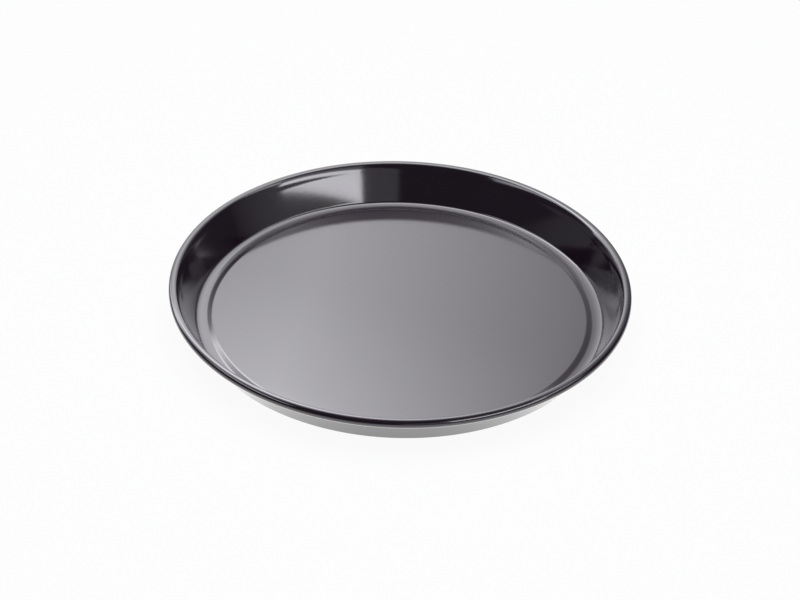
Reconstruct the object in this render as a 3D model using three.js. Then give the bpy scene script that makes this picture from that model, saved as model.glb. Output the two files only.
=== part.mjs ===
// A round baking pan, drawn from one sheet of steel and glazed with vitreous enamel.
// The sheet has a raised centre panel, a gutter that the pan stands on, a leaning wall and a curled rim.
// Every piece is a body of revolution about +Z, and the pan stands on the plane z = 0. Millimetres.
import * as THREE from "three";

// Driving dimensions
const rimDiameter = 270; // over the outside of the curled rim
const panHeight = 24; // from the table to the top of the curled rim
const wallLean = 27; // degrees that the wall leans out from upright
const steelThickness = 0.7;
const enamelThickness = 0.15; // of one coat
const bondClearance = 0.02; // between the steel and each coat
const curlDiameter = 5.4; // of the curled rim's section, over the enamel
const curlMouth = 1; // gap left between the curl's glazed cut edge and the outside of the wall
const flareTurn = 9; // degrees that the wall's top turns outwards before the curl
const flareRadius = 16; // of that turn, at the middle of the sheet
const footBendRadius = 2; // inside the tight bend between the gutter and the wall
const gutterRadius = 11.5; // inside the gutter's round outer side
const gutterTurn = 18; // degrees that the gutter's outer side rises through before the tight bend
const gutterLand = 1; // width of the flat ring at the bottom of the gutter
const panelRise = 1.2; // of the centre panel above the gutter
const panelSlope = 22; // degrees that the step between the gutter and the panel rises at
const panelFootRadius = 4; // inside the bend at the foot of that step
const shoulderRadius = 3.5; // over the bend at the top of that step

// Facets: the sides of the pan, and the most degrees that one facet of a bend turns through
const sidesAround = 60;
const bendFacet = 24;
const curlFacet = 35;

// Colours and finishes
const enamelFinish = new THREE.MeshStandardMaterial({ color: 0x2a242a, roughness: 0.12, metalness: 0 });
const steelFinish = new THREE.MeshStandardMaterial({ color: 0x8d8f92, roughness: 0.45, metalness: 1 });

// Heights of each layer's faces, counted from the middle of the steel towards the inside of the pan
const steelFace = steelThickness / 2;
const coatFace = steelFace + bondClearance;
const finishedFace = coatFace + enamelThickness;

const radians = THREE.MathUtils.degToRad;
const degrees = THREE.MathUtils.radToDeg;

// The sheet's shape is the line through the middle of the steel, from the axis out to the cut edge.
// A station on it is a point (radius, height) and the sheet's tilt there: 0 where the inside of the pan faces up,
// more where it faces the axis, and less where it faces outwards.
const stationAt = (point, tilt) => ({ point, tilt });
const insideOf = (tilt) => new THREE.Vector2(-Math.sin(radians(tilt)), Math.cos(radians(tilt)));
const onwardsAt = (tilt) => new THREE.Vector2(Math.cos(radians(tilt)), Math.sin(radians(tilt)));

// A bend of the sheet, with a station at each of the given tilts and equal facets between them.
// The inside of the pan lies on the outer side of a bend of positive radius.
function bend(centre, radius, tilts, largestFacet) {
  const stationTilted = (tilt) => stationAt(insideOf(tilt).multiplyScalar(radius).add(centre), tilt);
  const stations = [stationTilted(tilts[0])];
  for (let stretch = 1; stretch < tilts.length; stretch++) {
    const [from, to] = [tilts[stretch - 1], tilts[stretch]];
    const facets = Math.ceil(Math.abs(to - from) / largestFacet);
    for (let facet = 1; facet <= facets; facet++) {
      stations.push(stationTilted(THREE.MathUtils.lerp(from, to, facet / facets)));
    }
  }
  return stations;
}

// Flare: the wall's top turns outwards into the curl, whose section touches the pan's full height and full radius.
const wallTilt = 90 - wallLean;
const rimTilt = wallTilt - flareTurn;
const curlRadius = curlDiameter / 2;
const curlLineRadius = curlRadius - finishedFace;
const curlCentre = new THREE.Vector2(rimDiameter / 2 - curlRadius, panHeight - curlRadius);
const flareCentre = insideOf(rimTilt).multiplyScalar(curlLineRadius - flareRadius).add(curlCentre);
const flare = bend(flareCentre, flareRadius, [wallTilt, rimTilt], bendFacet);
const wallTop = flare[0].point;

// Curled rim: the sheet turns on until the glazed lip of its cut edge is one mouth away from the outside coat.
// The sheet's tilt is 0 at the top of the curl, and it turns a quarter to the outermost point and again to the lowest.
const lipReach = bondClearance + enamelThickness;
const lipCornerRadius = Math.hypot(curlRadius, lipReach);
const curlStandoff = wallTop.clone().sub(curlCentre).dot(insideOf(wallTilt));
const lipCornerDepth = curlStandoff - finishedFace - curlMouth;
const lipCornerAngle = degrees(Math.acos(lipCornerDepth / lipCornerRadius) + Math.atan2(lipReach, curlRadius));
const cutEdgeTilt = wallTilt - 360 + lipCornerAngle;
const curlCrests = [0, -90, -180].filter((tilt) => tilt > cutEdgeTilt);
const curl = bend(curlCentre, curlLineRadius, [rimTilt, ...curlCrests, cutEdgeTilt], curlFacet);

// Wall and foot: the wall runs down from the flare to a tight bend, which runs on into the gutter's rounder side.
const gutterHeight = finishedFace;
const footLineRadius = footBendRadius + finishedFace;
const gutterLineRadius = gutterRadius + finishedFace;
const footFromGutter = insideOf(gutterTurn).multiplyScalar(footLineRadius - gutterLineRadius);
const footCentreHeight = gutterHeight + gutterLineRadius + footFromGutter.y;
const wallBottomHeight = footCentreHeight - footLineRadius * insideOf(wallTilt).y;
const wallRun = (wallTop.y - wallBottomHeight) * Math.tan(radians(wallLean));
const footCentreRadius = wallTop.x - wallRun + footLineRadius * insideOf(wallTilt).x;
const footCentre = new THREE.Vector2(footCentreRadius, footCentreHeight);
const footBend = bend(footCentre, -footLineRadius, [gutterTurn, wallTilt], bendFacet);
const gutterCentre = footCentre.clone().sub(footFromGutter);
const gutter = bend(gutterCentre, -gutterLineRadius, [0, gutterTurn], bendFacet);

// Raised panel: a sloping step with a bend at its foot and at its shoulder lifts the sheet from the gutter's land.
const footRadius = panelFootRadius + finishedFace;
const topRadius = shoulderRadius - finishedFace;
const stepRise = panelRise - (footRadius + topRadius) * (1 - Math.cos(radians(panelSlope)));
const stepRun = stepRise / Math.tan(radians(panelSlope));
const stepBendsRun = (footRadius + topRadius) * Math.sin(radians(panelSlope));
const landInnerRadius = gutterCentre.x - gutterLand;
const panelRadius = landInnerRadius - stepBendsRun - stepRun;
const panelHeight = gutterHeight + panelRise;
const shoulderCentre = new THREE.Vector2(panelRadius, panelHeight - topRadius);
const panelShoulder = bend(shoulderCentre, topRadius, [0, -panelSlope], bendFacet);
const panelFootCentre = new THREE.Vector2(landInnerRadius, gutterHeight + footRadius);
const panelFoot = bend(panelFootCentre, -footRadius, [-panelSlope, 0], bendFacet);

// The whole line, and the stretch of it that the outside coat covers, which ends where the curl begins
const panelCentre = stationAt(new THREE.Vector2(0, panelHeight), 0);
const gutterAndFoot = [...gutter, ...footBend.slice(1)];
const baseAndWall = [panelCentre, ...panelShoulder, ...panelFoot, ...gutterAndFoot, ...flare];
const wholeSheet = [...baseAndWall, ...curl.slice(1)];

// A point at some height above a station's middle line, and some way past it along the sheet
function pointAbove({ point, tilt }, height, beyond = 0) {
  return insideOf(tilt).multiplyScalar(height).addScaledVector(onwardsAt(tilt), beyond).add(point);
}

// A layer's section, from the axis along its lower face, round its edge and back along its upper face
function layer(stations, lowerHeight, upperHeight, edge = []) {
  const lowerFace = stations.map((station) => pointAbove(station, lowerHeight));
  const upperFace = stations.map((station) => pointAbove(station, upperHeight));
  return [...lowerFace, ...edge, ...upperFace.reverse()];
}

// The inside coat's lip laps the steel's cut edge, so its section turns round the end of the sheet.
const cutEdge = wholeSheet.at(-1);
const lip = [
  pointAbove(cutEdge, coatFace, bondClearance),
  pointAbove(cutEdge, -steelFace, bondClearance),
  pointAbove(cutEdge, -steelFace, lipReach),
  pointAbove(cutEdge, finishedFace, lipReach),
];

// A closed solid of revolution. A lathe turns its section about +Y, so it is stood up along +Z.
function revolved(name, section, material) {
  const mesh = new THREE.Mesh(new THREE.LatheGeometry(section, sidesAround), material);
  mesh.name = name;
  mesh.rotation.x = Math.PI / 2;
  return mesh;
}

const pan = new THREE.Group();
pan.add(
  revolved("steel_pressing", layer(wholeSheet, -steelFace, steelFace), steelFinish),
  revolved("inside_enamel", layer(wholeSheet, coatFace, finishedFace, lip), enamelFinish),
  revolved("outside_enamel", layer(baseAndWall, -finishedFace, -coatFace), enamelFinish),
);

export default pan;
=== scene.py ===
# %% [markdown]
# # A round enamelled baking pan
# The pan is one sheet of steel, pressed to shape and glazed on both sides with dark vitreous enamel.
# Its solids come from the CAD frame. This lesson dresses them: it turns a finer copy of each layer,
# gives the glaze its gloss and colour, and sets a small studio round it.
# The frame is loaded first, because the rim's radius and the pan's height are measured from it.

# %% Load the frame
import math

import bmesh
import bpy
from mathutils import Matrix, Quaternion, Vector


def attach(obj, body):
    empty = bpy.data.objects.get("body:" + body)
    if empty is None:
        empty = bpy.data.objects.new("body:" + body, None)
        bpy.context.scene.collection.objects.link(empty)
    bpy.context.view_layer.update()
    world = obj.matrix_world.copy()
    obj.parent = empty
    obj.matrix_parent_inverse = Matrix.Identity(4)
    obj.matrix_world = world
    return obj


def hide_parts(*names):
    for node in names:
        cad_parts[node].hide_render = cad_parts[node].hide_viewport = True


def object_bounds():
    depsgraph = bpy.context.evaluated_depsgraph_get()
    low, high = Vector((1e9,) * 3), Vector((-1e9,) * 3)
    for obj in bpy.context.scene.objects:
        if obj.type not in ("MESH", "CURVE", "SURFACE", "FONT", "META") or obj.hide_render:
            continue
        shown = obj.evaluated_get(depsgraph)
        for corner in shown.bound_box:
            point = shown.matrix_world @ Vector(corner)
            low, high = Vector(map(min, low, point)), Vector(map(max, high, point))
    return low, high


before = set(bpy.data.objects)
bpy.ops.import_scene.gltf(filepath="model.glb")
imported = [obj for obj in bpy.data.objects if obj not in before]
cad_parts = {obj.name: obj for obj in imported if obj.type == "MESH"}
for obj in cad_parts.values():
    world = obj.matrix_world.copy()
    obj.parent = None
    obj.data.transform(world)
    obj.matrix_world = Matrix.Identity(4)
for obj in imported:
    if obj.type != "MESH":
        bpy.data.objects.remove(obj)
cad_low, cad_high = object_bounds()
RIM_RADIUS = cad_high.x
PAN_HEIGHT = cad_high.z
print(f"the pan is {2000 * RIM_RADIUS:.1f} mm across and {1000 * PAN_HEIGHT:.1f} mm high")

# %% [markdown]
# ## The camera
# The photograph looks down on the pan from a good arm's length, with a long lens and a slight turn of
# the head. A camera could be placed by eye. Here its distance, height angle and roll are written down,
# and it is aimed at the middle of the rim, so that the ellipse of the rim falls where it does in the
# photograph.

# %% Camera
MILLIMETRE = 0.001
CURL_DIAMETER = 5.4 * MILLIMETRE
CAMERA_DISTANCE = 10 * RIM_RADIUS
CAMERA_ELEVATION = math.radians(34.46)
CAMERA_ROLL = math.radians(1.73)
CAMERA_PITCH = math.radians(-0.397)
CAMERA_YAW = math.radians(0.012)
CAMERA_LENS = 104.04

rim_centre = Vector((0, 0, PAN_HEIGHT - CURL_DIAMETER / 2))
towards_camera = Vector((0, -math.cos(CAMERA_ELEVATION), math.sin(CAMERA_ELEVATION)))
camera = bpy.data.objects.new("camera", bpy.data.cameras.new("camera"))
camera.data.lens = CAMERA_LENS
camera.rotation_mode = "QUATERNION"
camera.location = rim_centre + CAMERA_DISTANCE * towards_camera
facing_rim = (-towards_camera).to_track_quat("-Z", "Y")
rolled = Quaternion((0, 0, 1), CAMERA_ROLL)
pitched = Quaternion((1, 0, 0), CAMERA_PITCH)
turned_aside = Quaternion((0, 1, 0), CAMERA_YAW)
camera.rotation_quaternion = facing_rim @ rolled @ pitched @ turned_aside
bpy.context.scene.collection.objects.link(camera)
bpy.context.scene.camera = camera
bpy.context.scene.view_settings.view_transform = "Standard"
print(f"the camera stands {CAMERA_DISTANCE:.2f} m from the rim's centre")

# %% [markdown]
# ## The sheet's section
# A pressed pan is a body of revolution, so one section says all of its shape. From the middle outwards
# it is a flat raised panel, a short step down, a shallow gutter whose lowest ring stands on the table,
# a tight foot bend, a leaning wall, a slight flare, and a curl that runs outwards and back under itself.
# The section could be drawn as a list of points. Bends make a better drawing: each one is an arc, so
# that the glaze reflects without kinks, and a change of one size moves all that follows from it.

# %% Section sizes
WALL_LEAN = 27
FLARE_TURN = 9
FLARE_RADIUS = 16 * MILLIMETRE
FOOT_BEND_RADIUS = 2 * MILLIMETRE
GUTTER_RADIUS = 11.5 * MILLIMETRE
GUTTER_TURN = 18
GUTTER_LAND = 1 * MILLIMETRE
PANEL_RISE = 1.2 * MILLIMETRE
PANEL_SLOPE = 22
PANEL_FOOT_RADIUS = 4 * MILLIMETRE
SHOULDER_RADIUS = 3.5 * MILLIMETRE
CURL_MOUTH = 1 * MILLIMETRE
STEEL_THICKNESS = 0.7 * MILLIMETRE
ENAMEL_THICKNESS = 0.15 * MILLIMETRE
BOND_CLEARANCE = 0.02 * MILLIMETRE

STEEL_FACE = STEEL_THICKNESS / 2
COAT_FACE = STEEL_FACE + BOND_CLEARANCE
FINISHED_FACE = COAT_FACE + ENAMEL_THICKNESS
print(f"the finished sheet is {2000 * FINISHED_FACE:.2f} mm thick")

# %% [markdown]
# ## Bends
# The line runs through the middle of the steel. A station on it holds a point (radius, height) and the
# sheet's tilt: 0 where the inside of the pan faces up, more where it faces the axis, and less where it
# faces outwards. A bend is then an arc of stations. It could be a curve object with a fine resolution;
# stations keep the tilt as well as the place, and the coats need both.
# Facets of three degrees are fine enough for a mirror-like glaze.

# %% Stations of a bend
LARGEST_FACET = 3


def inside_of(tilt):
    """The direction into the pan from a sheet at this tilt."""
    return Vector((-math.sin(math.radians(tilt)), math.cos(math.radians(tilt))))


def onwards_at(tilt):
    """The direction along the sheet, away from the axis."""
    return Vector((math.cos(math.radians(tilt)), math.sin(math.radians(tilt))))


def bend(centre, radius, start, end):
    """Stations along a bend. The inside of the pan is on the outer side where the radius is positive."""
    facets = math.ceil(abs(end - start) / LARGEST_FACET)
    tilts = [start + (end - start) * facet / facets for facet in range(facets + 1)]
    return [(centre + radius * inside_of(tilt), tilt) for tilt in tilts]


print(f"a bend of 90 degrees has {len(bend(Vector((0, 0)), 1, 0, 90))} stations")

# %% [markdown]
# ## Flare and curl
# The rim is rolled over last, to hide the cut edge and to stiffen the pan. Its place is fixed by the
# rim's diameter and the pan's height, so the section is worked out from there.
# The curl could be a plain ring lying on the wall. It is the sheet itself, turned on until its glazed
# lip is one mouth away from the wall, because its underside shows from low down.

# %% Flare and curl
wall_tilt = 90 - WALL_LEAN
rim_tilt = wall_tilt - FLARE_TURN
curl_radius = CURL_DIAMETER / 2
curl_line_radius = curl_radius - FINISHED_FACE
curl_centre = Vector((RIM_RADIUS - curl_radius, PAN_HEIGHT - curl_radius))
flare_centre = curl_centre + (curl_line_radius - FLARE_RADIUS) * inside_of(rim_tilt)
flare = bend(flare_centre, FLARE_RADIUS, wall_tilt, rim_tilt)
wall_top = flare[0][0]
lip_reach = BOND_CLEARANCE + ENAMEL_THICKNESS
lip_depth = (wall_top - curl_centre).dot(inside_of(wall_tilt)) - FINISHED_FACE - CURL_MOUTH
lip_angle = math.acos(lip_depth / math.hypot(curl_radius, lip_reach)) + math.atan2(lip_reach, curl_radius)
cut_edge_tilt = wall_tilt - 360 + math.degrees(lip_angle)
curl = bend(curl_centre, curl_line_radius, rim_tilt, cut_edge_tilt)
print(f"the curl turns through {rim_tilt - cut_edge_tilt:.0f} degrees")

# %% [markdown]
# ## Wall and gutter
# The wall is the stretch that the punch leaves between the rim and the base. It runs down from the
# flare at its lean until a tight foot bend turns it into the gutter, a shallow round channel whose
# lowest ring stands on the table.
# One large bend would be simpler, but the photograph shows a sharp dark crease with a soft bright band
# inside it: that takes two bends, a tight one and a round one, which meet at the same tilt.

# %% Wall and gutter
gutter_height = FINISHED_FACE
foot_line_radius = FOOT_BEND_RADIUS + FINISHED_FACE
gutter_line_radius = GUTTER_RADIUS + FINISHED_FACE
foot_from_gutter = (foot_line_radius - gutter_line_radius) * inside_of(GUTTER_TURN)
foot_centre_height = gutter_height + gutter_line_radius + foot_from_gutter.y
wall_bottom_height = foot_centre_height - foot_line_radius * inside_of(wall_tilt).y
wall_run = (wall_top.y - wall_bottom_height) * math.tan(math.radians(WALL_LEAN))
foot_centre_radius = wall_top.x - wall_run + foot_line_radius * inside_of(wall_tilt).x
foot_centre = Vector((foot_centre_radius, foot_centre_height))
foot_bend = bend(foot_centre, -foot_line_radius, GUTTER_TURN, wall_tilt)
gutter_centre = Vector((foot_centre_radius - foot_from_gutter.x, gutter_height + gutter_line_radius))
gutter = bend(gutter_centre, -gutter_line_radius, 0, GUTTER_TURN)
print(f"the wall meets its foot bend {1000 * foot_bend[-1][0].x:.1f} mm from the axis")

# %% [markdown]
# ## Bowed wall
# A drawn wall springs back when it leaves the die, so it isn't quite straight. In the photograph its
# highlight tapers to a point, with a dark line above it and another below: the wall bulges inwards by
# less than a tenth of a millimetre, and a slight neck runs under the flare.
# The bulge could be sculpted or bumped. It is walked here in short steps along the section, each at its
# own tilt, because then the mirror bends with it.

# %% Bowed wall
WALL_STEPS = 40
WALL_BOW = 1.4
NECK_TURN = 2.8
NECK_PLACE = 0.93
NECK_SPREAD = 0.07


def bowed_tilt(share):
    """The wall's tilt at a share of the way from its foot bend to its flare."""
    nearness = max(0, 1 - ((share - NECK_PLACE) / NECK_SPREAD) ** 2)
    return wall_tilt + WALL_BOW * (1 - 2 * share) + NECK_TURN * nearness


walked = [foot_bend[-1][0]]
step_length = (wall_top - walked[0]).length / WALL_STEPS
for step in range(WALL_STEPS):
    walked.append(walked[-1] + step_length * onwards_at(bowed_tilt((step + 0.5) / WALL_STEPS)))
miss = (wall_top - walked[-1]) / WALL_STEPS
wall = [(walked[step] + step * miss, bowed_tilt(step / WALL_STEPS)) for step in range(1, WALL_STEPS)]
print(f"the walk misses the flare by {1000 * WALL_STEPS * miss.length:.3f} mm, which its steps share")

# %% [markdown]
# ## Step and panel
# A raised panel keeps a pressed base flat when it is heated. A bend lifts the sheet out of the gutter
# onto a short slope, and a shoulder lays it flat again. A single sharp crease would be simpler, but it
# would show as a hard line, where the photograph has a soft dark band.

# %% Step and panel
foot_radius = PANEL_FOOT_RADIUS + FINISHED_FACE
shoulder_radius = SHOULDER_RADIUS - FINISHED_FACE
slope_rise = PANEL_RISE - (foot_radius + shoulder_radius) * (1 - math.cos(math.radians(PANEL_SLOPE)))
slope_run = slope_rise / math.tan(math.radians(PANEL_SLOPE))
bends_run = (foot_radius + shoulder_radius) * math.sin(math.radians(PANEL_SLOPE))
land_inner_radius = gutter_centre.x - GUTTER_LAND
panel_radius = land_inner_radius - bends_run - slope_run
panel_height = gutter_height + PANEL_RISE
shoulder_centre = Vector((panel_radius, panel_height - shoulder_radius))
panel_shoulder = bend(shoulder_centre, shoulder_radius, 0, -PANEL_SLOPE)
panel_foot_centre = Vector((land_inner_radius, gutter_height + foot_radius))
panel_foot = bend(panel_foot_centre, -foot_radius, -PANEL_SLOPE, 0)
print(f"the slope of the step is {1000 * slope_run:.2f} mm wide")

# %% [markdown]
# ## The whole line
# The stretches are now joined, from the axis to the cut edge. The panel is flat, so one large disc would
# do. It still gets a few rings, so that its faces aren't long thin slivers.
# The outside coat ends where the curl begins, because the curl hides what follows.

# %% The whole line
PANEL_RINGS = 8

panel = [(Vector((panel_radius * ring / PANEL_RINGS, panel_height)), 0) for ring in range(PANEL_RINGS)]
base_and_wall = panel + panel_shoulder + panel_foot + gutter + foot_bend[1:] + wall + flare
whole_sheet = base_and_wall + curl[1:]
print(f"the panel is {2000 * panel_radius:.1f} mm across, and the section has {len(whole_sheet)} stations")

# %% [markdown]
# ## Layers of the sheet
# Each layer is the space between two faces that follow the line: the steel in the middle and a coat of
# enamel on each side. A Solidify modifier could thicken one surface three times. Here each layer's
# outline is offset from the stations themselves, so that the layers can't drift into each other.

# %% Layers of the sheet
def point_above(station, height, beyond=0.0):
    """A point at some height above the middle line, and some way past the station along the sheet."""
    point, tilt = station
    return point + height * inside_of(tilt) + beyond * onwards_at(tilt)


def layer_section(stations, lower_height, upper_height, edge=()):
    """A layer's outline: out along its lower face, round its edge and back along its upper face."""
    lower_face = [point_above(station, lower_height) for station in stations]
    upper_face = [point_above(station, upper_height) for station in stations]
    return lower_face + list(edge) + upper_face[::-1]


print(f"a layer's outline has at least {len(layer_section(base_and_wall, 0, 1))} points")

# %% [markdown]
# ## Turning a layer
# The pan is drawn in a round die, so each layer is its outline turned about the axis. Blender can lathe
# with the Screw modifier, or with bmesh's spin, which is used here because the result is a plain mesh
# whose shading can be set at once. Smooth shading makes the facets read as one polished surface, and
# edges much sharper than a facet stay crisp.

# %% Turning a layer
SIDES_AROUND = 256
WELD_DISTANCE = 0.001 * MILLIMETRE
SHARP_ANGLE = math.radians(40)
PAN_AXIS = (0, 0, 1)


def turned_layer(name, section, material):
    """A closed mesh turned from a section about the pan's axis. It rides on the pan's one body."""
    turning = bmesh.new()
    rail = [turning.verts.new((point.x, 0, point.y)) for point in section]
    edges = [turning.edges.new(pair) for pair in zip(rail, rail[1:])]
    outline = rail + edges
    bmesh.ops.spin(turning, geom=outline, axis=PAN_AXIS, angle=math.tau, steps=SIDES_AROUND, use_merge=True)
    bmesh.ops.remove_doubles(turning, verts=turning.verts, dist=WELD_DISTANCE)
    bmesh.ops.recalc_face_normals(turning, faces=turning.faces)
    mesh = bpy.data.meshes.new(name)
    turning.to_mesh(mesh)
    turning.free()
    mesh.shade_smooth()
    mesh.set_sharp_from_angle(angle=SHARP_ANGLE)
    mesh.materials.append(material)
    layer = bpy.data.objects.new(name, mesh)
    bpy.context.scene.collection.objects.link(layer)
    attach(layer, "root")
    print(f"{name}: {len(mesh.polygons)} faces")
    return layer


print(f"a layer is turned in {SIDES_AROUND} sides")

# %% [markdown]
# ## Soft patterns
# No real surface is the same all over: a glaze pools a little, and rolled steel has a grain. A picture of
# such a surface could be wrapped round the pan, but it would show a seam. Noise in object space has none.
# Two helpers are enough: one makes the noise, and one lays a roughness between two limits with it.

# %% Soft patterns
def noise_pattern(nodes, links, scale, detail):
    """Noise in the object's own space, from 0 to 1."""
    place = nodes.new("ShaderNodeTexCoord")
    pattern = nodes.new("ShaderNodeTexNoise")
    pattern.inputs["Scale"].default_value = scale
    pattern.inputs["Detail"].default_value = detail
    links.new(place.outputs["Object"], pattern.inputs["Vector"])
    return pattern.outputs["Fac"]


def varied_roughness(nodes, links, shader, pattern, smoothest, roughest):
    """Lets a shader's roughness follow a pattern between two limits."""
    spread = nodes.new("ShaderNodeMapRange")
    spread.inputs["To Min"].default_value = smoothest
    spread.inputs["To Max"].default_value = roughest
    links.new(pattern, spread.inputs["Value"])
    links.new(spread.outputs["Result"], shader.inputs["Roughness"])


print("the patterns are noise in the pan's own space")

# %% [markdown]
# ## Enamel
# Vitreous enamel is glass that is melted onto the steel: a smooth clear gloss over a nearly black,
# faintly purple body. Almost all that one sees of it is reflection, so the colour is dark and the finish
# is in the gloss. One flat colour and one gloss would do from afar. Two soft patterns make it glass:
# one varies the colour and the gloss a little, and one ripples the surface by a hundredth of a
# millimetre.

# %% Enamel glaze
ENAMEL_DARK = (0.0095, 0.0036, 0.0098, 1)
ENAMEL_LIGHT = (0.013, 0.006, 0.0133, 1)
ENAMEL_INDEX = 1.58
MOTTLE_SCALE = 45
MOTTLE_DETAIL = 4
GLAZE_SMOOTHEST = 0.08
GLAZE_ROUGHEST = 0.12
RIPPLE_SCALE = 160
RIPPLE_DETAIL = 2
RIPPLE_DEPTH = 0.01 * MILLIMETRE


def enamel_glaze():
    """A clear gloss over a dark body, faintly mottled and rippled."""
    material = bpy.data.materials.new("enamel_glaze")
    material.use_nodes = True
    nodes, links = material.node_tree.nodes, material.node_tree.links
    shader = nodes["Principled BSDF"]
    shader.inputs["IOR"].default_value = ENAMEL_INDEX
    mottle = noise_pattern(nodes, links, MOTTLE_SCALE, MOTTLE_DETAIL)
    tint = nodes.new("ShaderNodeMix")
    tint.data_type = "RGBA"
    tint.inputs["A"].default_value = ENAMEL_DARK
    tint.inputs["B"].default_value = ENAMEL_LIGHT
    links.new(mottle, tint.inputs["Factor"])
    links.new(tint.outputs["Result"], shader.inputs["Base Color"])
    varied_roughness(nodes, links, shader, mottle, GLAZE_SMOOTHEST, GLAZE_ROUGHEST)
    ripple = nodes.new("ShaderNodeBump")
    ripple.inputs["Strength"].default_value = 1
    ripple.inputs["Distance"].default_value = RIPPLE_DEPTH
    links.new(noise_pattern(nodes, links, RIPPLE_SCALE, RIPPLE_DETAIL), ripple.inputs["Height"])
    links.new(ripple.outputs["Normal"], shader.inputs["Normal"])
    return material


enamel = enamel_glaze()
print(f"{enamel.name}: {len(enamel.node_tree.nodes)} nodes, refractive index {ENAMEL_INDEX}")

# %% [markdown]
# ## Steel
# The sheet is cold-rolled steel. The glaze covers it, so it shows only inside the curl, where no light
# falls, and a plain grey would pass. It is made as a dull metal with a fine grain in its roughness all
# the same, so that the pan is right when it is cut open.

# %% Steel
STEEL_COLOUR = (0.46, 0.45, 0.44, 1)
GRAIN_SCALE = 400
GRAIN_DETAIL = 2
STEEL_SMOOTHEST = 0.35
STEEL_ROUGHEST = 0.5


def rolled_steel():
    """A dull metal with a fine grain."""
    material = bpy.data.materials.new("rolled_steel")
    material.use_nodes = True
    nodes, links = material.node_tree.nodes, material.node_tree.links
    shader = nodes["Principled BSDF"]
    shader.inputs["Base Color"].default_value = STEEL_COLOUR
    shader.inputs["Metallic"].default_value = 1
    grain = noise_pattern(nodes, links, GRAIN_SCALE, GRAIN_DETAIL)
    varied_roughness(nodes, links, shader, grain, STEEL_SMOOTHEST, STEEL_ROUGHEST)
    return material


steel = rolled_steel()
print(f"{steel.name}: {len(steel.node_tree.nodes)} nodes")

# %% [markdown]
# ## Glaze on the inside
# The inside coat runs from the middle of the panel over the wall and round the whole curl, and it laps
# the sheet's cut edge as a lip. A single skin would look the same from above, but it would have no
# thickness where the lip shows. So one closed mesh holds both of the coat's faces.

# %% Glaze on the inside
cut_edge = whole_sheet[-1]
lip = [
    point_above(cut_edge, COAT_FACE, BOND_CLEARANCE),
    point_above(cut_edge, -STEEL_FACE, BOND_CLEARANCE),
    point_above(cut_edge, -STEEL_FACE, lip_reach),
    point_above(cut_edge, FINISHED_FACE, lip_reach),
]
inside_section = layer_section(whole_sheet, COAT_FACE, FINISHED_FACE, lip)
inside_glaze = turned_layer("inside_glaze", inside_section, enamel)
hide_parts("inside_enamel")

# %% [markdown]
# ## Glaze on the outside and the sheet
# The outside coat covers the underside and the wall up to the curl. The steel lies between the two coats.
# Both could be left to the plain solids, since little of them shows. Each is turned from the same line at
# its own heights instead, so the three layers nest without touching.

# %% Glaze on the outside and the sheet
outside_section = layer_section(base_and_wall, -FINISHED_FACE, -COAT_FACE)
outside_glaze = turned_layer("outside_glaze", outside_section, enamel)
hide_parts("outside_enamel")
steel_section = layer_section(whole_sheet, -STEEL_FACE, STEEL_FACE)
steel_sheet = turned_layer("steel_sheet", steel_section, steel)
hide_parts("steel_pressing")

# %% [markdown]
# ## The table in the mirror
# The glaze mirrors the table round the pan. A lit table is brightest close to the pan, under the lamps,
# and it darkens away from them. Stronger lamps could light it so, but they would wash out the pan. An
# emission that falls off with the distance from the axis gives the same picture in the mirror.

# %% The table in the mirror
GLOW_NEAR = 2.2
GLOW_FAR = 0.3
GLOW_FROM = 0.13
GLOW_TO = 0.42


def mirrored_glow(nodes, links):
    """An emission that falls off with the distance from the pan's axis."""
    place = nodes.new("ShaderNodeTexCoord")
    away = nodes.new("ShaderNodeVectorMath")
    away.operation = "LENGTH"
    links.new(place.outputs["Object"], away.inputs[0])
    fall = nodes.new("ShaderNodeMapRange")
    fall.inputs["From Min"].default_value = GLOW_FROM
    fall.inputs["From Max"].default_value = GLOW_TO
    fall.inputs["To Min"].default_value = GLOW_NEAR
    fall.inputs["To Max"].default_value = GLOW_FAR
    links.new(away.outputs["Value"], fall.inputs["Value"])
    glow = nodes.new("ShaderNodeEmission")
    links.new(fall.outputs["Result"], glow.inputs["Strength"])
    return glow.outputs["Emission"]


print(f"the mirrored table fades from {GLOW_FROM} to {GLOW_TO} m away from the axis")

# %% [markdown]
# ## White table
# The pan stands on a white table that fades into a white background. A pure white could come from
# stronger lamps, but those would also wash out the pan. Here the camera sees the table mostly as plain
# white, with a share of its real shading, so that the pan keeps its soft shadow.

# %% White table
FLOOR_SIZE = 8.0
FLOOR_COLOUR = (0.85, 0.85, 0.86, 1)
CAMERA_WHITE = 0.94


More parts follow.
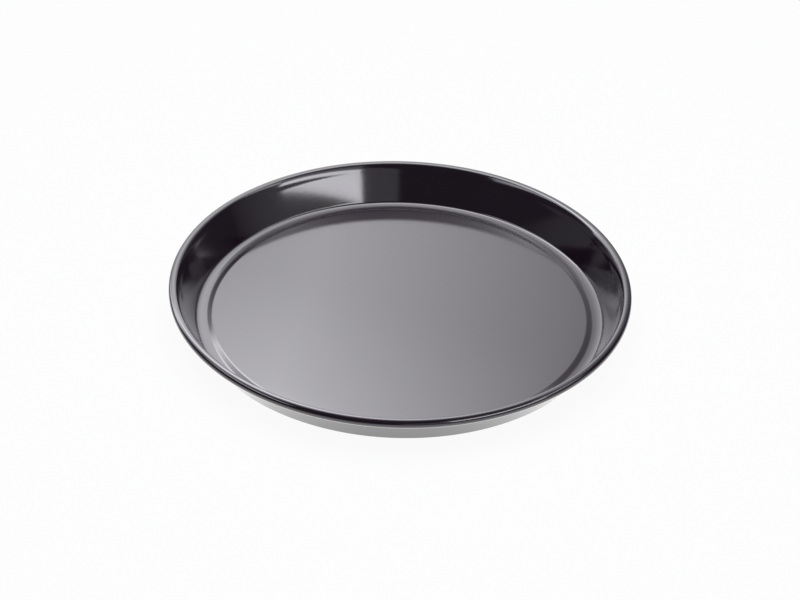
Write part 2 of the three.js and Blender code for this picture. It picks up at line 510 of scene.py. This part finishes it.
def white_table():
    """White paint, shown as white to the camera and as a glow to the glaze."""
    material = bpy.data.materials.new("white_table")
    material.use_nodes = True
    nodes, links = material.node_tree.nodes, material.node_tree.links
    paint = nodes["Principled BSDF"]
    paint.inputs["Base Color"].default_value = FLOOR_COLOUR
    paint.inputs["Roughness"].default_value = 1
    paint.inputs["Specular IOR Level"].default_value = 0
    white = nodes.new("ShaderNodeEmission")
    ray = nodes.new("ShaderNodeLightPath")
    share = nodes.new("ShaderNodeMath")
    share.operation = "MULTIPLY"
    share.inputs[1].default_value = CAMERA_WHITE
    links.new(ray.outputs["Is Camera Ray"], share.inputs[0])
    seen = nodes.new("ShaderNodeMixShader")
    links.new(share.outputs["Value"], seen.inputs["Fac"])
    links.new(paint.outputs["BSDF"], seen.inputs[1])
    links.new(white.outputs["Emission"], seen.inputs[2])
    mirror = nodes.new("ShaderNodeMath")
    mirror.operation = "MAXIMUM"
    links.new(ray.outputs["Is Glossy Ray"], mirror.inputs[0])
    links.new(ray.outputs["Is Transmission Ray"], mirror.inputs[1])
    table = nodes.new("ShaderNodeMixShader")
    links.new(mirror.outputs["Value"], table.inputs["Fac"])
    links.new(seen.outputs["Shader"], table.inputs[1])
    links.new(mirrored_glow(nodes, links), table.inputs[2])
    links.new(table.outputs["Shader"], nodes["Material Output"].inputs["Surface"])
    return material


bpy.ops.mesh.primitive_plane_add(size=FLOOR_SIZE)
floor = bpy.context.object
floor.name = "floor"
floor.data.materials.append(white_table())
print(f"the table is {FLOOR_SIZE:.0f} m square")

# %% [markdown]
# ## Dim room
# Round the table the studio is dim, so that the glaze is dark wherever it mirrors no lamp. The camera
# sees white there. Black cloth and a white wall could be modelled. A World shader with Light Path gives
# both at once: white to camera rays, and a faint grey-blue to all others.

# %% Dim room
ROOM_COLOUR = (0.92, 0.94, 1, 1)
ROOM_STRENGTH = 0.1
WHITE = (1, 1, 1, 1)

world = bpy.data.worlds.new("studio")
bpy.context.scene.world = world
world.use_nodes = True
world_nodes, world_links = world.node_tree.nodes, world.node_tree.links
dim_room = world_nodes["Background"]
dim_room.inputs["Color"].default_value = ROOM_COLOUR
dim_room.inputs["Strength"].default_value = ROOM_STRENGTH
white_wall = world_nodes.new("ShaderNodeBackground")
white_wall.inputs["Color"].default_value = WHITE
world_ray = world_nodes.new("ShaderNodeLightPath")
room = world_nodes.new("ShaderNodeMixShader")
world_links.new(world_ray.outputs["Is Camera Ray"], room.inputs["Fac"])
world_links.new(dim_room.outputs["Background"], room.inputs[1])
world_links.new(white_wall.outputs["Background"], room.inputs[2])
world_links.new(room.outputs["Shader"], world_nodes["World Output"].inputs["Surface"])
print(f"the room's strength is {ROOM_STRENGTH}")

# %% [markdown]
# ## A lit panel
# A glossy black pan shows the lamps themselves more than their light, so each lamp has the outline of a
# real softbox or board. A glowing plane would do that too. An area lamp is the better panel: it gives
# less grain, and it can be kept from the camera. Its power is worked out from its brightness, so that a
# panel may change its size and look the same.

# %% A lit panel
LAMP_TINT = (0.955, 0.95, 1)


def lit_panel(name, centre, turn, width, height, brightness):
    """An area lamp with this brightness, which shines along its own downward axis."""
    lamp = bpy.data.lights.new(name, "AREA")
    lamp.shape = "RECTANGLE"
    lamp.size = width
    lamp.size_y = height
    lamp.color = LAMP_TINT
    lamp.energy = brightness * math.pi * width * height
    panel_lamp = bpy.data.objects.new(name, lamp)
    panel_lamp.location = centre
    panel_lamp.rotation_mode = "QUATERNION"
    panel_lamp.rotation_quaternion = turn
    panel_lamp.visible_camera = False
    bpy.context.scene.collection.objects.link(panel_lamp)
    print(f"{name}: {width:.2f} by {height:.2f} m at brightness {brightness}")
    return panel_lamp


print(f"the lamps are tinted {LAMP_TINT}")

# %% [markdown]
# ## A panel that fades
# A softbox is brightest where its bulb sits and fades towards its edges. Several small lamps could be
# put side by side for that. One lamp is enough: its own shader can dim it across and up the panel, with
# the lamp's Parametric coordinate and two colour ramps.

# %% A panel that fades
EVEN = [(0, 1), (1, 1)]


def shaded_along(nodes, links, coordinate, stops):
    """A colour ramp along one side of a panel, from (share of the side, brightness) pairs."""
    ramp = nodes.new("ShaderNodeValToRGB")
    links.new(coordinate, ramp.inputs["Fac"])
    for share, _ in stops[1:-1]:
        ramp.color_ramp.elements.new(share)
    for element, (share, brightness) in zip(ramp.color_ramp.elements, stops):
        element.position = share
        element.color = (brightness, brightness, brightness, 1)
    return ramp.outputs["Color"]


def fade(panel_lamp, across=EVEN, upwards=EVEN):
    """Dims a panel across its width, from its right end as the pan sees it, and up its height."""
    lamp = panel_lamp.data
    lamp.use_nodes = True
    nodes, links = lamp.node_tree.nodes, lamp.node_tree.links
    place = nodes.new("ShaderNodeNewGeometry")
    sides = nodes.new("ShaderNodeSeparateXYZ")
    links.new(place.outputs["Parametric"], sides.inputs["Vector"])
    both = nodes.new("ShaderNodeMath")
    both.operation = "MULTIPLY"
    links.new(shaded_along(nodes, links, sides.outputs["X"], across), both.inputs[0])
    links.new(shaded_along(nodes, links, sides.outputs["Y"], upwards), both.inputs[1])
    links.new(both.outputs["Value"], nodes["Emission"].inputs["Strength"])


print(f"a panel that doesn't fade has the stops {EVEN}")

# %% [markdown]
# ## Overhead softbox
# The soft grey sheen on the panel is the mirror image of a large softbox, which hangs over the back left
# of the pan and fades to the right. Its bright core lies higher than the panel mirrors, and draws the
# fine light line in the far gutter. A plain square lamp would give an even grey. The stops below say how
# bright it is so many metres to the right of its middle, or above it.
# It is brighter than plain light, so only the mirror sees it: its light on everything else comes from
# the plain panel further down.

# %% Overhead softbox
BACK_ELEVATION = math.radians(50)
BACK_ROLL = math.radians(15)
BACK_DISTANCE = 0.4
BACK_LEFT = 0.72
BACK_RIGHT = 0.62
BACK_DOWN = 0.45
BACK_UP = 0.62
BACK_BRIGHTNESS = 16.5
BACK_ACROSS = [(-0.72, 0.1), (-0.3, 0.6), (-0.1, 1), (0.1, 0.5), (0.22, 0.18), (0.62, 0)]
BACK_UPWARDS = [(-0.45, 0.1), (-0.1, 0.26), (0, 0.38), (0.06, 0.9), (0.17, 0.45), (0.4, 0.09), (0.62, 0)]

back_out = Vector((0, math.cos(BACK_ELEVATION), math.sin(BACK_ELEVATION)))
back_turn = back_out.to_track_quat("Z", "Y") @ Quaternion((0, 0, 1), -BACK_ROLL)
back_left = back_turn @ Vector((1, 0, 0))
back_up = back_turn @ Vector((0, 1, 0))
back_width = BACK_LEFT + BACK_RIGHT
back_height = BACK_DOWN + BACK_UP
back_centre = BACK_DISTANCE * back_out
back_centre += (BACK_LEFT - BACK_RIGHT) / 2 * back_left
back_centre += (BACK_UP - BACK_DOWN) / 2 * back_up
back_softbox = lit_panel("back_softbox", back_centre, back_turn, back_width, back_height, BACK_BRIGHTNESS)
back_softbox.visible_diffuse = False
across = [((BACK_RIGHT - metres) / back_width, brightness) for metres, brightness in reversed(BACK_ACROSS)]
upwards = [((metres + BACK_DOWN) / back_height, brightness) for metres, brightness in BACK_UPWARDS]
fade(back_softbox, across, upwards)
print(f"the softbox hangs {back_centre.z:.2f} m above the table")

# %% [markdown]
# ## Standing panels
# The other lamps and boards of the studio stand upright round the pan. Each could be placed and turned
# by hand. Here each one is given by the direction in degrees that it stands in, its distance, and how
# far it reaches in metres, as seen from the pan: to the right and left, and from its bottom to its top.
# They show in the mirror alone, as the overhead softbox does.

# %% Standing panels
def standing_panel(name, azimuth, distance, right, left, bottom, top, brightness):
    """An upright panel that faces the pan's axis and that only the mirror sees."""
    outwards = Vector((math.cos(math.radians(azimuth)), math.sin(math.radians(azimuth)), 0))
    leftwards = Vector((-outwards.y, outwards.x, 0))
    centre = distance * outwards + (left - right) / 2 * leftwards + Vector((0, 0, (bottom + top) / 2))
    turn = outwards.to_track_quat("Z", "Y")
    standing = lit_panel(name, centre, turn, left + right, top - bottom, brightness)
    standing.visible_diffuse = False
    return standing


print("standing panels face the pan's axis")

# %% [markdown]
# ## Front softbox
# The crisp bright patch on the far wall is a strip softbox in front of the pan and to the right. Its
# mirror image has straight edges at the bottom and sides, so it is even there, and it fades towards its
# top. A pale board stands behind it and catches some of its light: it is the dim grey beside the patch.
# The patch could be painted on the wall, but then it would stay there when the pan is turned.

# %% Front softbox
front_softbox = standing_panel(
    "front_softbox", azimuth=-44, distance=1.0, right=0.42, left=0.42, bottom=0.39, top=1.2, brightness=9.5
)
fade(front_softbox, upwards=[(0, 1), (0.2, 1), (0.3, 0.15), (1, 0.05)])
front_board = standing_panel(
    "front_board", azimuth=-44, distance=1.06, right=1.0, left=1.35, bottom=0.05, top=0.75, brightness=0.55
)
fade(front_board, across=[(0, 1), (0.64, 0.9), (0.83, 0.46), (1, 0.1)])

# %% [markdown]
# ## Side lamps
# Two weaker lamps stand at the left and at the right, so high that the walls catch them only in their
# second mirror image, by way of the opposite wall. They lift the side walls from black to a soft grey.
# A brighter room would do that too, but it would also grey the far wall, which is nearly black.

# %% Side lamps
left_lamp = standing_panel(
    "left_lamp", azimuth=-167, distance=1.0, right=0.45, left=0.5, bottom=0.57, top=1.0, brightness=4.5
)
left_lamp_across = [(0, 0.6), (0.2, 1), (0.7, 1), (1, 0.5)]
left_lamp_upwards = [(0, 0.35), (0.2, 1), (1, 1)]
fade(left_lamp, left_lamp_across, left_lamp_upwards)
right_lamp = standing_panel(
    "right_lamp", azimuth=-7, distance=1.0, right=0.22, left=0.22, bottom=0.56, top=1.0, brightness=3.5
)

# %% [markdown]
# ## Strip and low board
# A narrow strip at the back left draws the grey line along the right flare, and a low board beside it
# gives the right wall its faint grey. One wide lamp for both would be too bright for the wall.

# %% Strip and low board
left_strip = standing_panel(
    "left_strip", azimuth=143, distance=1.0, right=0.22, left=0.22, bottom=0.2, top=0.5, brightness=2.5
)
left_board = standing_panel(
    "left_board", azimuth=175, distance=1.0, right=0.35, left=0.5, bottom=0.0, top=0.25, brightness=0.22
)
fade(left_board, across=[(0, 1), (0.5, 1), (1, 0.3)])

# %% [markdown]
# ## Plain light
# Paint, steel and the glaze's own colour are lit by one wide panel overhead, at the level where a colour
# looks as it is written. A sun lamp would give hard shadows. The mirror doesn't see this panel, so it
# leaves no patch on the glaze.

# %% Plain light
PLAIN_HEIGHT = 1.2
PLAIN_SIZE = 1.5
PLAIN_BRIGHTNESS = 2.7

plain_centre = Vector((0, 0, PLAIN_HEIGHT))
plain_light = lit_panel("plain_light", plain_centre, Quaternion(), PLAIN_SIZE, PLAIN_SIZE, PLAIN_BRIGHTNESS)
plain_light.visible_glossy = False
